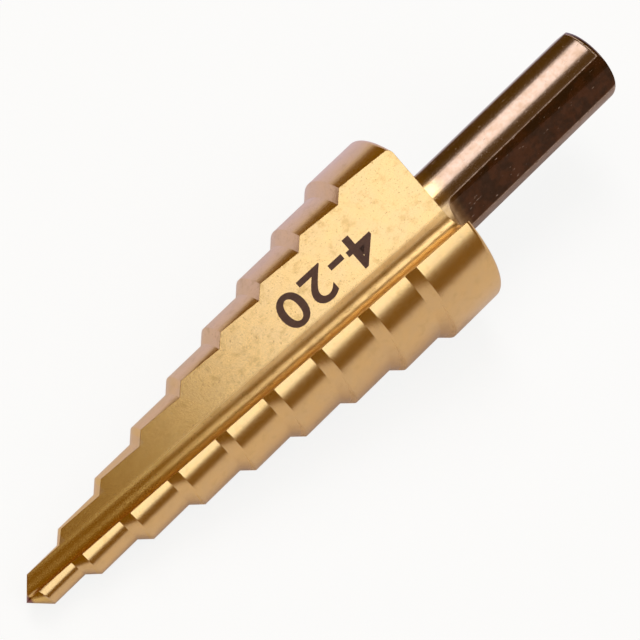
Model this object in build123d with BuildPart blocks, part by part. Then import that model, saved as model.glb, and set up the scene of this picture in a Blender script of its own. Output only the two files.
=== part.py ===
"""Step drill for sheet metal: nine steps on two straight flutes, and a three-flat shank.

One solid of high-speed steel.  It is turned and ground about its own axis, with the
point at the origin and the shank towards +Z, and then laid down as it comes to rest.
Lengths are in millimetres and angles in degrees.
"""
from build123d import *
from math import asin, atan2, cos, degrees, radians, tan
import os

# --- driving dimensions -------------------------------------------------------------
# steps
step_count = 9
first_diameter = 4.0
diameter_rise = 2.0            # from each step to the next
first_step_length = 6.25       # point to the second step's front corner
step_pitch = 5.5               # front corner to front corner, from the second step on
last_step_length = 6.7         # front corner to the back face
shoulder_length = 1.1          # ramp that leads up to each step, along the axis
rim_radius = 0.5               # round the back face

# clearance ground behind each cutting edge
relief_lead = 32.0             # turn of the grinding centres, ahead of the rake face
land_offset = 0.13             # grinding centre of a land, off the axis
shoulder_offset = 0.37         # grinding centre of the second step's shoulder
shoulder_offset_rise = 0.03    # added for each larger step
point_angle = 92.0             # of the two cones that the point is ground to
point_offset = 0.8             # of those cones, behind each lip

# flutes, cut by a form with one rounded corner
flute_count = 2
flute_corner_angle = 82.0      # between the rake face and the floor
flute_corner_radius = 1.35
rake_ahead_at_point = 0.18     # plane of the rake face, ahead of the axis at the point
rake_drift = 2.82              # slope of that plane, to behind the axis at the back
floor_past_axis = 0.31         # how far past the axis the flute's corner starts
flute_rise = 6.12              # slope of the flute's corner away from the axis

# shank
shank_diameter = 8.0
shank_length = 22.4
shank_end_radius = 0.8
flat_count = 3
flat_distance = 3.47           # from the axis
flat_start = 0.75              # round neck left behind the steps
flat_runout_radius = 1.2       # left by the cutter where each flat starts
flat_turn = 89.4               # first flat, from the rake face

# --- sizes that follow ---------------------------------------------------------------
largest_radius = (first_diameter + (step_count - 1) * diameter_rise) / 2
back_face = first_step_length + (step_count - 2) * step_pitch + last_step_length
overall_length = back_face + shank_length
shoulder_slope = (diameter_rise / 2) / shoulder_length
over = 1.0                     # how far a cut runs past the metal
parting_turn = 25.0            # plane that parts one land from the next, within a flute


def step_radius(step):
    """Radius at the cutting edge; the first step is number 1."""
    return (first_diameter + (step - 1) * diameter_rise) / 2


def step_front(step):
    """Height of the step's front corner at the cutting edge."""
    return first_step_length + (step - 2) * step_pitch


def cutting_angle(step):
    """Turn of the step's cutting corner.  The rake face lies ahead of the axis at the
    point and drifts behind it towards the back."""
    behind = step_front(step) * tan(radians(rake_drift)) - rake_ahead_at_point
    return degrees(asin(behind / step_radius(step)))


def cutting_corner(step):
    return Vector(step_radius(step), 0, step_front(step)).rotate(Axis.Z, cutting_angle(step))


def grinding_centre(offset):
    """Centre of a ground surface, which sits off the drill's own axis."""
    return Vector(offset, 0, 0).rotate(Axis.Z, -relief_lead)


def ground_radius(step, offset):
    """Radius about a grinding centre that meets the step's cutting corner."""
    return step_radius(step) - offset * cos(radians(relief_lead + cutting_angle(step)))


def ground_step(step):
    """One step that runs to the back face: a land ground round one centre, behind a
    shoulder ground round a centre further out, so that both fall away from the edge."""
    offset = shoulder_offset + (step - 2) * shoulder_offset_rise
    start = step_front(step) - 2 * shoulder_length
    narrow = ground_radius(step, offset) - 2 * shoulder_length * shoulder_slope
    wide = step_radius(step) + over
    shoulder_centre = grinding_centre(offset)
    with BuildPart() as ground:
        with BuildSketch(Plane(grinding_centre(land_offset)).offset(start)):
            Circle(ground_radius(step, land_offset))
        extrude(amount=back_face - start)
        if step == step_count:
            fillet(ground.edges().sort_by(Axis.Z)[-1], rim_radius)
        with BuildSketch(Plane(shoulder_centre, x_dir=(1, 0, 0), z_dir=(0, -1, 0))):
            with BuildLine():
                Polyline(
                    (0, start),
                    (narrow, start),
                    (wide, start + (wide - narrow) / shoulder_slope),
                    (wide, back_face),
                    (0, back_face),
                    close=True,
                )
            make_face()
        revolve(axis=Axis(shoulder_centre, (0, 0, 1)), mode=Mode.INTERSECT)
    return ground.part


def grinding_stone():
    """Everything outside the ground steps, over the share of a turn that one land has."""
    with BuildPart() as ground:
        with BuildSketch(Plane(grinding_centre(land_offset)).offset(-over)):
            Circle(ground_radius(1, land_offset))
        extrude(amount=back_face + over)
        for step in range(2, step_count + 1):
            add(ground_step(step))

    with BuildPart() as stone:
        with BuildSketch(Plane.XZ.rotated((0, 0, -parting_turn))):
            with Locations((0, -over)):
                Rectangle(
                    largest_radius + 2 * over,
                    back_face + over,
                    align=(Align.MIN, Align.MIN),
                )
        revolve(axis=Axis.Z, revolution_arc=360 / flute_count)
        add(ground.part, mode=Mode.SUBTRACT)
    return stone.part


def point_stone():
    """Everything ahead of one flank of the point.  The flank is part of a cone whose axis
    is set off behind the lip, so that it falls away from the lip and meets the other
    flank in a chisel edge."""
    reach = first_diameter / 2 + over
    slope = tan(radians(point_angle / 2))
    cone_height = point_offset / slope + first_diameter
    with BuildPart() as stone:
        with Locations((0, 0, -over)):
            Box(2 * reach, reach, first_diameter, align=(Align.CENTER, Align.MIN, Align.MIN))
        with Locations((0, -point_offset, -point_offset / slope)):
            Cone(
                0,
                cone_height * slope,
                cone_height,
                align=(Align.CENTER, Align.CENTER, Align.MIN),
                mode=Mode.SUBTRACT,
            )
    return stone.part


def flute_cutter():
    """The space one flute takes: its corner climbs away from the axis to the back."""
    reach = 3 * largest_radius
    climb = Vector(tan(radians(flute_rise)), tan(radians(rake_drift)), 1)
    with BuildPart() as cutter:
        corner = Vector(-floor_past_axis, -rake_ahead_at_point, 0) - climb * over
        with BuildSketch(Plane(corner)):
            with BuildLine():
                Polyline(
                    (0, 0),
                    (reach, 0),
                    (reach, -reach),
                    Vector(reach, 0).rotate(Axis.Z, -flute_corner_angle),
                    close=True,
                )
            make_face()
            fillet(vertices().sort_by_distance((0, 0))[0], flute_corner_radius)
        extrude(amount=(back_face + over) * climb.length, dir=climb)
    return cutter.part


def flat_cutter():
    """Clears one flat of the shank, with a rounded run-out where the flat starts."""
    start = back_face + flat_start
    with BuildPart() as cutter:
        with BuildSketch(Plane.XZ):
            with BuildLine():
                Polyline(
                    (flat_distance, start),
                    (shank_diameter, start),
                    (shank_diameter, overall_length + over),
                    (flat_distance, overall_length + over),
                    close=True,
                )
            make_face()
            fillet(vertices().sort_by_distance((flat_distance, start))[0], flat_runout_radius)
        extrude(amount=shank_diameter, both=True)
    return cutter.part


# --- the drill, upright on its point -------------------------------------------------
with BuildPart() as upright:
    # a plain bar, then the flutes, then the lands and shoulders behind each cutting edge
    with BuildSketch(Plane.XY.offset(-over)):
        Circle(largest_radius + over)
    extrude(amount=back_face + over)
    with PolarLocations(0, flute_count):
        add(flute_cutter(), mode=Mode.SUBTRACT)
    with PolarLocations(0, flute_count):
        add(grinding_stone(), mode=Mode.SUBTRACT)
    # the two flanks of the point
    with Locations(Rotation(0, 0, cutting_angle(1))):
        with PolarLocations(0, flute_count):
            add(point_stone(), mode=Mode.SUBTRACT)
    # the shank and its flats
    with BuildSketch(Plane.XY.offset(back_face)):
        Circle(shank_diameter / 2)
    extrude(amount=shank_length)
    fillet(upright.edges().group_by(Axis.Z)[-1], shank_end_radius)
    with Locations(Rotation(0, 0, flat_turn)):
        with PolarLocations(0, flat_count):
            add(flat_cutter(), mode=Mode.SUBTRACT)

# --- laid down -----------------------------------------------------------------------
# One line of cutting corners touches the floor.  The drill rolls over it until the floor
# meets the next corner, which is across the flute.
edge_line = (cutting_corner(step_count) - cutting_corner(2)).normalized()
radial = cutting_corner(step_count) - Vector(0, 0, step_front(step_count))
outward = (radial - edge_line * radial.dot(edge_line)).normalized()
across = outward.cross(edge_line)
clear_of_the_line = first_diameter / 4      # tells other corners from the line's own


def off_the_line(corner):
    """How far a corner lies off the line of cutting corners, across and outward."""
    apart = Vector(*corner) - cutting_corner(step_count)
    return Vector(apart.dot(across), apart.dot(outward), 0)


def roll_to(offset):
    """How far the floor turns about the line to meet a corner at this offset."""
    return degrees(atan2(offset.X, offset.Y))


offsets = [off_the_line(corner) for corner in upright.vertices()]
roll = min(roll_to(offset) for offset in offsets if offset.X > clear_of_the_line)
up = across * cos(radians(roll)) - outward * cos(radians(90 - roll))
drill_axis = Vector(0, 0, 1)
floor = Plane(
    origin=cutting_corner(step_count),
    x_dir=drill_axis - up * drill_axis.dot(up),
    z_dir=up,
)

with BuildPart() as laid:
    with Locations(floor.location.inverse()):
        add(upright.part)

with BuildPart() as step_drill:
    box = laid.part.bounding_box()
    with Locations((-box.center().X, -box.center().Y, -box.min.Z)):
        add(laid.part)

step_drill.part.label = "step_drill"
os.makedirs("parts", exist_ok=True)
export_step(step_drill.part, "parts/step_drill.step")
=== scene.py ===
import bpy
from math import cos, radians, sin
from mathutils import Matrix, Vector


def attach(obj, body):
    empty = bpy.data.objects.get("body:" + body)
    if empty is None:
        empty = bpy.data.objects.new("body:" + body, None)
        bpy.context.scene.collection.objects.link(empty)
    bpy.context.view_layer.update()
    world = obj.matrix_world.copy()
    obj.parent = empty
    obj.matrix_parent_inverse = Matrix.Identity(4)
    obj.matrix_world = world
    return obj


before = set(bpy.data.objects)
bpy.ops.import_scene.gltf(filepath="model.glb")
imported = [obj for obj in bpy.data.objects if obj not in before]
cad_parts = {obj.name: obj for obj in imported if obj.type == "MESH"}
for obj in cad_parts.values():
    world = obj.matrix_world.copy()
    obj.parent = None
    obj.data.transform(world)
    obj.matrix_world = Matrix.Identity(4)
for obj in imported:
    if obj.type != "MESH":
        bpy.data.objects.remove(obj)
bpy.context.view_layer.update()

scene = bpy.context.scene
scene.view_settings.view_transform = "Standard"

MM = 0.001
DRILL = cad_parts["step_drill"]

# The drill's own axis as it lies: from the point, up towards the shank.
TIP = Vector((-0.0367723, 0.0, 0.001817))
LEAN = radians(8.256)
AXIS = Vector((cos(LEAN), 0.0, sin(LEAN)))

# Across the axis: SIDE points to the right of the photo's drill, LOOK towards the camera.
SIDE = Vector((0.0457, -0.9480, -0.3150))
LOOK = Vector((-0.1361, -0.3183, 0.9382))
SIDE_ON_DRILL = (0.0, -0.948, -0.318)       # SIDE in the drill's own coordinates

# The drill's sizes in millimetres. BACK_FACE is the distance from the point to the shank.
STEP_COUNT = 9
FIRST_RADIUS = 2.0
RADIUS_RISE = 1.0
FIRST_STEP = 6.25
PITCH = 5.5
LAST_STEP = 6.7
BACK_FACE = FIRST_STEP + (STEP_COUNT - 2) * PITCH + LAST_STEP
SHANK_RADIUS = 4.0

# The wide wall of the flute: its turn from LOOK towards SIDE, its rise for each millimetre
# along the drill, and its depth below the axis at the point. Then its foot: how far to the
# left of the axis it starts at the point, and its drift to the right for each millimetre.
WALL_TURN = radians(11.5)
WALL_CLIMB = 0.113
WALL_DEPTH = 0.334
FOOT_LEFT = 2.15
FOOT_DRIFT = 0.0493

# The size mark in millimetres: the place of its middle, its height and half its thickness.
# It is drawn this many times wider than the plain font.
MARK_ALONG = 39.35
MARK_LEFT = 3.28
MARK_HEIGHT = 4.75
MARK_HALF_THICKNESS = 0.008
MARK_WIDENED = 1.26

# Colours, as linear red, green, blue and alpha. The two tints darken the bronze of the flats.
GOLD = (0.86, 0.60, 0.265, 1)
PALER_GOLD = (0.82, 0.585, 0.28, 1)
DEEPER_GOLD = (0.89, 0.62, 0.19, 1)
SMUDGE = (0.62, 0.42, 0.16, 1)
PIT = (0.42, 0.25, 0.09, 1)
BRONZE = (0.35, 0.265, 0.22, 1)
DARKER_BRONZE = (0.30, 0.21, 0.155, 1)
FLAT_TINT = (0.52, 0.37, 0.30, 1)
BLOTCH_TINT = (0.32, 0.28, 0.26, 1)
BARE_STEEL = (0.80, 0.68, 0.60, 1)
TIP_SPOT = (0.24, 0.075, 0.06, 1)
INK = (0.085, 0.045, 0.035, 1)
PALER_INK = (0.13, 0.075, 0.055, 1)
PAPER = (0.79, 0.79, 0.80, 1)
PAPER_FLECK = (0.81, 0.81, 0.82, 1)
# The far paper's bluish tone is painted bluish light. The two blues after the white are the
# paper's painted glow, a reflection that only the metal sees.
PAINTED_BLUISH_FAR_PAPER = (0.76, 0.76, 0.80, 1)
WHITE_PAPER = (0.985, 1.0, 1.0, 1)
FAINT_PAINTED_BLUE = (0.0, 0.0, 0.03, 1)
PAINTED_REFLECTION_BLUE = (0.0, 0.03, 0.38, 1)
BACKDROP = (0.97, 0.97, 0.97, 1)
ROOM_AND_PAINTED_SHADE = (0.19, 0.092, 0.0, 1)                # the dim warm room round the paper, and the painted shade of the card ahead of the point


# ---------------------------------------------------------------- node helpers
class Nodes:
    """The node tree of a material or a world, built up by short calls."""

    def __init__(self, owner):
        owner.use_nodes = True
        self.tree = owner.node_tree
        self.tree.nodes.clear()

    def join(self, value, socket):
        """Link an output to the socket, or set a plain value on it."""
        if isinstance(value, bpy.types.NodeSocket):
            self.tree.links.new(value, socket)
        else:
            socket.default_value = value

    def add(self, kind, *values, **settings):
        """A new node with its settings made and its inputs filled in their order."""
        node = self.tree.nodes.new("ShaderNode" + kind)
        for name, value in settings.items():
            setattr(node, name, value)
        for value, socket in zip(values, node.inputs):
            self.join(value, socket)
        return node

    def maths(self, operation, *values):
        return self.add("Math", *values, operation=operation).outputs[0]

    def total(self, first, *others):
        for value in others:
            first = self.maths("ADD", first, value)
        return first

    def product(self, first, *others):
        for value in others:
            first = self.maths("MULTIPLY", first, value)
        return first

    def ramp(self, value, low, high, to_low=0.0, to_high=1.0):
        """A soft step that starts at low and ends at high, which may be the lesser one."""
        values = (value, low, high, to_low, to_high)
        return self.add("MapRange", *values, interpolation_type="SMOOTHSTEP").outputs["Result"]

    def mix(self, factor, a, b, blend="MIX", data="RGBA"):
        """Colour or number a where the factor is 0, and b where it is 1."""
        node = self.add("Mix", data_type=data, blend_type=blend)
        for name, value in (("Factor", factor), ("A", a), ("B", b)):
            sockets = [socket for socket in node.inputs if socket.name == name and socket.enabled]
            self.join(value, sockets[0])
        return [socket for socket in node.outputs if socket.enabled][0]

    def noise(self, vector, scale=1.0, detail=2.0, roughness=0.5):
        node = self.add("TexNoise", vector)
        node.inputs["Scale"].default_value = scale
        node.inputs["Detail"].default_value = detail
        node.inputs["Roughness"].default_value = roughness
        return node.outputs["Fac"]

    def combine(self, x, y, z):
        return self.add("CombineXYZ", x, y, z).outputs[0]

    def stretch(self, vector, factors):
        return self.add("VectorMath", vector, factors, operation="MULTIPLY").outputs[0]

    def bump(self, height, depth, normal=None):
        """Relief of this depth in millimetres, on the plain normal or on a bent one."""
        node = self.add("Bump")
        node.inputs["Distance"].default_value = depth * MM
        self.join(height, node.inputs["Height"])
        if normal is not None:
            self.join(normal, node.inputs["Normal"])
        return node.outputs[0]


def new_material(name, shader="BsdfPrincipled"):
    """A material, its nodes, and the shader that it shows."""
    material = bpy.data.materials.new(name)
    nodes = Nodes(material)
    shown = nodes.add(shader)
    nodes.add("OutputMaterial", shown.outputs[0])
    return material, nodes, shown


def drill_coordinates(nodes):
    """The place in millimetres with its X along the drill from the point. Then the distance
    along, the distance from the axis, and the turn about it."""
    spot = nodes.add("TexCoord").outputs["Object"]
    own = nodes.add("Mapping", spot, TIP, (0, -LEAN, 0), (MM, MM, MM), vector_type="TEXTURE")
    along, y, z = nodes.add("SeparateXYZ", own.outputs[0]).outputs
    radius = nodes.maths("SQRT", nodes.total(nodes.product(y, y), nodes.product(z, z)))
    turn = nodes.maths("ARCTAN2", z, y)
    return own.outputs[0], along, radius, turn


# ---------------------------------------------------------------- the drill's metal
def flute_mask(nodes, along, radius):
    """0 on the lands, which lie at their step's full radius, and 1 on all that lies below
    it: the flutes, the shoulders and the shank."""
    fronts = nodes.maths("DIVIDE", nodes.maths("SUBTRACT", along, FIRST_STEP), PITCH)
    rises = nodes.maths("MAXIMUM", nodes.total(nodes.maths("FLOOR", fronts), 1.0), 0.0)
    rises = nodes.maths("MINIMUM", rises, STEP_COUNT - 1.0)
    full = nodes.total(nodes.product(rises, RADIUS_RISE), FIRST_RADIUS)
    return nodes.ramp(nodes.maths("SUBTRACT", full, radius), 0.12, 0.3)


def root_mask(nodes, place, along, flute):
    """1 in the flute from the foot of the wide wall to the right, and on over the right of
    the shank. It is less near the point."""
    right = nodes.add("VectorMath", place, SIDE_ON_DRILL, operation="DOT_PRODUCT")
    drift = nodes.product(along, FOOT_DRIFT)
    straightened = nodes.maths("SUBTRACT", right.outputs["Value"], drift)
    beyond = nodes.ramp(straightened, -FOOT_LEFT, -FOOT_LEFT + 0.45)
    return nodes.product(flute, beyond, nodes.ramp(along, 8.0, 26.0, 0.4, 1.0))


def shank_mask(nodes, place, along):
    """1 on the shank. The gold ends in a ragged fade just behind the steps."""
    uneven = nodes.noise(place, scale=1.3, detail=3.0)
    ragged = nodes.total(along, nodes.product(uneven, 1.2))
    return nodes.ramp(ragged, BACK_FACE + 0.2, BACK_FACE + 3.4)


def bare_mask(nodes, along, radius, turn, shank, specks):
    """1 where the shank is worn bare: at the edges of its flats and its end, and in short
    scratches."""
    edge = nodes.product(nodes.ramp(radius, SHANK_RADIUS - 0.055, SHANK_RADIUS - 0.04),
                         nodes.ramp(radius, SHANK_RADIUS - 0.01, SHANK_RADIUS - 0.02))
    slanted = nodes.combine(nodes.total(along, turn), turn, radius)
    streaks = nodes.noise(nodes.stretch(slanted, (1.1, 26.0, 7.0)), detail=1.0)
    bare = nodes.maths("MAXIMUM", edge, nodes.ramp(streaks, 0.73, 0.77))
    return nodes.product(shank, bare, nodes.ramp(specks, 0.3, 0.6))


def gold_coat(nodes, place, along, flute, smudges, pits):
    """Gold with a slow drift of tone, deeper in the flute near the point, smudged and pitted."""
    drift = nodes.noise(place, scale=0.45, detail=4.0, roughness=0.6)
    gold = nodes.mix(nodes.ramp(drift, 0.35, 0.65), GOLD, PALER_GOLD)
    smudged = nodes.product(nodes.ramp(smudges, 0.5, 0.72), nodes.ramp(flute, 0, 1, 0.25, 0.6))
    gold = nodes.mix(smudged, gold, SMUDGE)
    gold = nodes.mix(nodes.product(flute, nodes.ramp(along, 32.0, 6.0)), gold, DEEPER_GOLD)
    return nodes.mix(pits, gold, PIT)


def bronze_shank(nodes, place, radius, shank, smudges, bare):
    """Bronze brown, with darker and blotchy flats."""
    bronze = nodes.mix(nodes.ramp(smudges, 0.3, 0.75), BRONZE, DARKER_BRONZE)
    flats = nodes.product(shank, nodes.ramp(radius, SHANK_RADIUS - 0.03, SHANK_RADIUS - 0.12))
    blotches = nodes.noise(place, scale=0.7, detail=3.0, roughness=0.7)
    darker = nodes.mix(nodes.ramp(blotches, 0.4, 0.62), FLAT_TINT, BLOTCH_TINT)
    bronze = nodes.mix(flats, bronze, darker, "MULTIPLY")
    return nodes.mix(bare, bronze, BARE_STEEL)


def tool_marks(nodes, place, along, radius, turn, flute, grain):
    """Fine rings round the lands, lines along all that lies below them, and softened edges."""
    unrolled = nodes.combine(along, nodes.product(turn, radius), radius)
    rings = nodes.noise(nodes.stretch(unrolled, (5.0, 1.3, 1.0)), detail=3.0, roughness=0.65)
    lines = nodes.noise(nodes.stretch(place, (0.3, 5.0, 5.0)), detail=3.0, roughness=0.6)
    ground = nodes.mix(flute, rings, lines, data="FLOAT")
    softened = nodes.add("Bevel", 0.06 * MM, samples=4).outputs[0]
    relief = nodes.bump(ground, 0.005, softened)
    return nodes.bump(nodes.product(grain, flute), 0.002, relief)


def coated_steel():
    """The gold coat on the steps, the bronze-brown shank, and the tool marks of both."""
    material, nodes, metal = new_material("coated_steel")
    place, along, radius, turn = drill_coordinates(nodes)
    smudges = nodes.noise(place, scale=1.1, detail=3.0, roughness=0.65)
    specks = nodes.noise(place, scale=5.5, detail=2.0, roughness=0.7)
    grain = nodes.noise(place, scale=4.5, detail=3.0, roughness=0.6)

    flute = flute_mask(nodes, along, radius)
    root = root_mask(nodes, place, along, flute)
    shank = shank_mask(nodes, place, along)
    bare = bare_mask(nodes, along, radius, turn, shank, specks)
    pits = nodes.product(nodes.ramp(specks, 0.62, 0.70), nodes.ramp(flute, 0, 1, 0.15, 0.55))
    tip = nodes.ramp(nodes.total(along, nodes.product(specks, 0.3)), 0.72, 0.5)

    gold = gold_coat(nodes, place, along, flute, smudges, pits)
    bronze = bronze_shank(nodes, place, radius, shank, smudges, bare)
    colour = nodes.mix(tip, nodes.mix(shank, gold, bronze), TIP_SPOT)
    nodes.join(colour, metal.inputs["Base Color"])
    metal.inputs["Metallic"].default_value = 1.0

    roughness = nodes.ramp(flute, 0, 1, 0.175, 0.155)
    for mask, rougher in ((grain, 0.04), (smudges, 0.03), (root, 0.14), (shank, 0.02),
                          (bare, 0.45), (pits, 0.15)):
        roughness = nodes.total(roughness, nodes.product(mask, rougher))
    nodes.join(roughness, metal.inputs["Roughness"])
    marks = tool_marks(nodes, place, along, radius, turn, flute, grain)
    nodes.join(marks, metal.inputs["Normal"])
    return material


DRILL.data.materials[0] = coated_steel()


# ---------------------------------------------------------------- the size mark
def burnt_ink():
    """Dark brown, unevenly burnt, and duller than the coat."""
    material, nodes, ink = new_material("burnt_mark")
    place = drill_coordinates(nodes)[0]
    tone = nodes.noise(place, scale=2.5, detail=4.0, roughness=0.7)
    relief = nodes.bump(nodes.noise(place, scale=9.0), 0.01)
    nodes.join(nodes.mix(nodes.ramp(tone, 0.3, 0.7), INK, PALER_INK), ink.inputs["Base Color"])
    nodes.join(nodes.ramp(tone, 0.3, 0.7, 0.45, 0.6), ink.inputs["Roughness"])
    nodes.join(relief, ink.inputs["Normal"])
    ink.inputs["Metallic"].default_value = 0.3
    return material


def size_mark():
    """The range of sizes, burnt into the wide wall of the flute and read from the shank side."""
    across = SIDE * cos(WALL_TURN) - LOOK * sin(WALL_TURN)
    out = SIDE * sin(WALL_TURN) + LOOK * cos(WALL_TURN)
    uphill = (AXIS + out * WALL_CLIMB).normalized()
    face = (out - AXIS * WALL_CLIMB).normalized()
    above_axis = WALL_CLIMB * MARK_ALONG - WALL_DEPTH
    middle = TIP + (AXIS * MARK_ALONG + out * above_axis - across * MARK_LEFT) * MM

    curve = bpy.data.curves.new("size_mark", "FONT")
    curve.body = "4-20"
    curve.size = MARK_HEIGHT * MM
    curve.offset = 0.07 * MM
    curve.space_character = 1.06
    curve.align_x = "CENTER"
    curve.align_y = "CENTER"
    curve.extrude = MARK_HALF_THICKNESS * MM
    curve.resolution_u = 6
    curve.materials.append(burnt_ink())
    mark = bpy.data.objects.new("size_mark", curve)
    scene.collection.objects.link(mark)
    spin = Matrix((-uphill * MARK_WIDENED, across, face)).transposed()
    lifted = middle + face * MARK_HALF_THICKNESS * MM
    mark.matrix_world = Matrix.Translation(lifted) @ spin.to_4x4()
    bpy.context.view_layer.update()
    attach(mark, "root")


size_mark()


# ---------------------------------------------------------------- what the drill lies on, and a card of painted shade
def flat_sheet(name, depth, width, place=(0, 0, 0)):
    """A level rectangle in metres, depth along X and width along Y."""
    bpy.ops.mesh.primitive_plane_add(size=1.0, location=place)
    sheet = bpy.context.object
    sheet.name = name
    sheet.data.transform(Matrix.Diagonal((depth, width, 1, 1)))
    return sheet


def floor_paper():
    """Pale paper. The camera sees it nearly white, with the drill's faint shadow. To the metal it
    glows blue at the left and faintly blue elsewhere, a painted reflection with no lamp behind
    it, and its colour turns bluish far from the drill, painted bluish light."""
    material = bpy.data.materials.new("floor")
    nodes = Nodes(material)
    place = nodes.add("TexCoord").outputs["Object"]
    paper = nodes.add("BsdfPrincipled")
    paper.inputs["Roughness"].default_value = 0.9
    paper.inputs["Specular IOR Level"].default_value = 0.0
    near = nodes.mix(nodes.noise(place, scale=400.0), PAPER, PAPER_FLECK)
    away = nodes.add("VectorMath", place, operation="LENGTH").outputs["Value"]
    # Painted light: the paper's colour turns bluish further from the drill.
    tone = nodes.mix(nodes.ramp(away, 0.08, 0.5), near, PAINTED_BLUISH_FAR_PAPER)
    nodes.join(tone, paper.inputs["Base Color"])

    path = nodes.add("LightPath").outputs
    y = nodes.add("SeparateXYZ", place).outputs["Y"]
    left = nodes.product(nodes.ramp(y, 0.005, 0.03), nodes.ramp(y, 0.20, 0.08))
    # Painted reflection: the paper glows blue to glossy rays, most at the left, with no lamp
    # there.
    tint = nodes.mix(left, FAINT_PAINTED_BLUE, PAINTED_REFLECTION_BLUE)
    painted_blue_glow = nodes.add("Emission", tint, path["Is Glossy Ray"])
    lit = nodes.add("AddShader", paper.outputs[0], painted_blue_glow.outputs[0])
    white = nodes.add("Emission", WHITE_PAPER, 1.06)
    whitened = nodes.product(path["Is Camera Ray"], 0.8)
    both = nodes.add("MixShader", whitened, lit.outputs[0], white.outputs[0])
    nodes.add("OutputMaterial", both.outputs[0])
    return material


def floor():
    """The paper, five metres square."""
    sheet = flat_sheet("floor", 5.0, 5.0)
    sheet.data.materials.append(floor_paper())


def painted_shade_card():
    """A dim card of painted shade, lying just above the paper ahead of the point and glowing with
    the room's colour, for the metal alone to reflect.
    """
    near_edge = -0.0385
    depth = 0.4
    width = 0.7
    above_paper = 0.0005
    card = flat_sheet("painted_shade_card", depth, width, (near_edge - depth / 2, 0, above_paper))
    material, nodes, glow = new_material("painted_shade_card", "Emission")
    # Painted shade: a dark glowing sheet that the metal reflects in its shoulders.
    nodes.join(ROOM_AND_PAINTED_SHADE, glow.inputs["Color"])
    card.data.materials.append(material)
    card.visible_camera = False
    card.visible_shadow = False
    card.visible_diffuse = False


floor()
painted_shade_card()


# ---------------------------------------------------------------- light and camera
def area_lamp(name, size, power, colour):
    data = bpy.data.lights.new(name, "AREA")
    data.shape = "RECTANGLE"
    data.size, data.size_y = size
    data.energy = power
    data.color = colour
    lamp = bpy.data.objects.new(name, data)
    scene.collection.objects.link(lamp)
    return lamp


def softbox(name, across, along, size, power, colour=(1, 1, 1)):
    """A lamp at a turn across the drill, 0 at its right side and 90 at the camera, and
    tipped along it, towards the shank."""
    distance = 0.8
    out = SIDE * cos(radians(across)) + LOOK * sin(radians(across))
    way = out * cos(radians(along)) + AXIS * sin(radians(along))
    up = (AXIS - way * AXIS.dot(way)).normalized()
    lamp = area_lamp(name, size, power, colour)
    lamp.location = way * distance
    lamp.rotation_euler = Matrix((up.cross(way), up, way)).transposed().to_euler()


def overhead():
    """A wide soft light from above, which the metal doesn't reflect."""
    lamp = area_lamp("overhead", size=(1.6, 1.6), power=9.5, colour=(1.0, 0.90, 0.88))
    lamp.location = (0, 0, 1.4)
    lamp.visible_glossy = False


def room():
    """Dim and warm to the metal, and the paper's pale tone to the camera."""
    world = bpy.data.worlds.new("studio")
    scene.world = world
    nodes = Nodes(world)
    around = nodes.add("Background", ROOM_AND_PAINTED_SHADE)
    backdrop = nodes.add("Background", BACKDROP)
    seen = nodes.add("LightPath").outputs["Is Camera Ray"]
    both = nodes.add("MixShader", seen, around.outputs[0], backdrop.outputs[0])
    nodes.add("OutputWorld", both.outputs[0])


def photo_camera():
    """The camera's place and lens, from a fit to edges measured on the photo."""
    lens = bpy.data.cameras.new("camera")
    lens.sensor_width = 36.0
    lens.lens = 140.6
    lens.clip_end = 20
    camera = bpy.data.objects.new("camera", lens)
    scene.collection.objects.link(camera)
    camera.location = (-0.081764, -0.071659, 0.210917)
    camera.rotation_euler = (radians(28.037), radians(-1.893), radians(-45.265))
    scene.camera = camera


softbox("softbox_right", across=62, along=16.3, size=(0.50, 0.56), power=1.17,
        colour=(0.94, 1.0, 1.11))
softbox("softbox_left", across=134, along=20, size=(0.54, 0.31), power=1.68)
overhead()
room()
photo_camera()
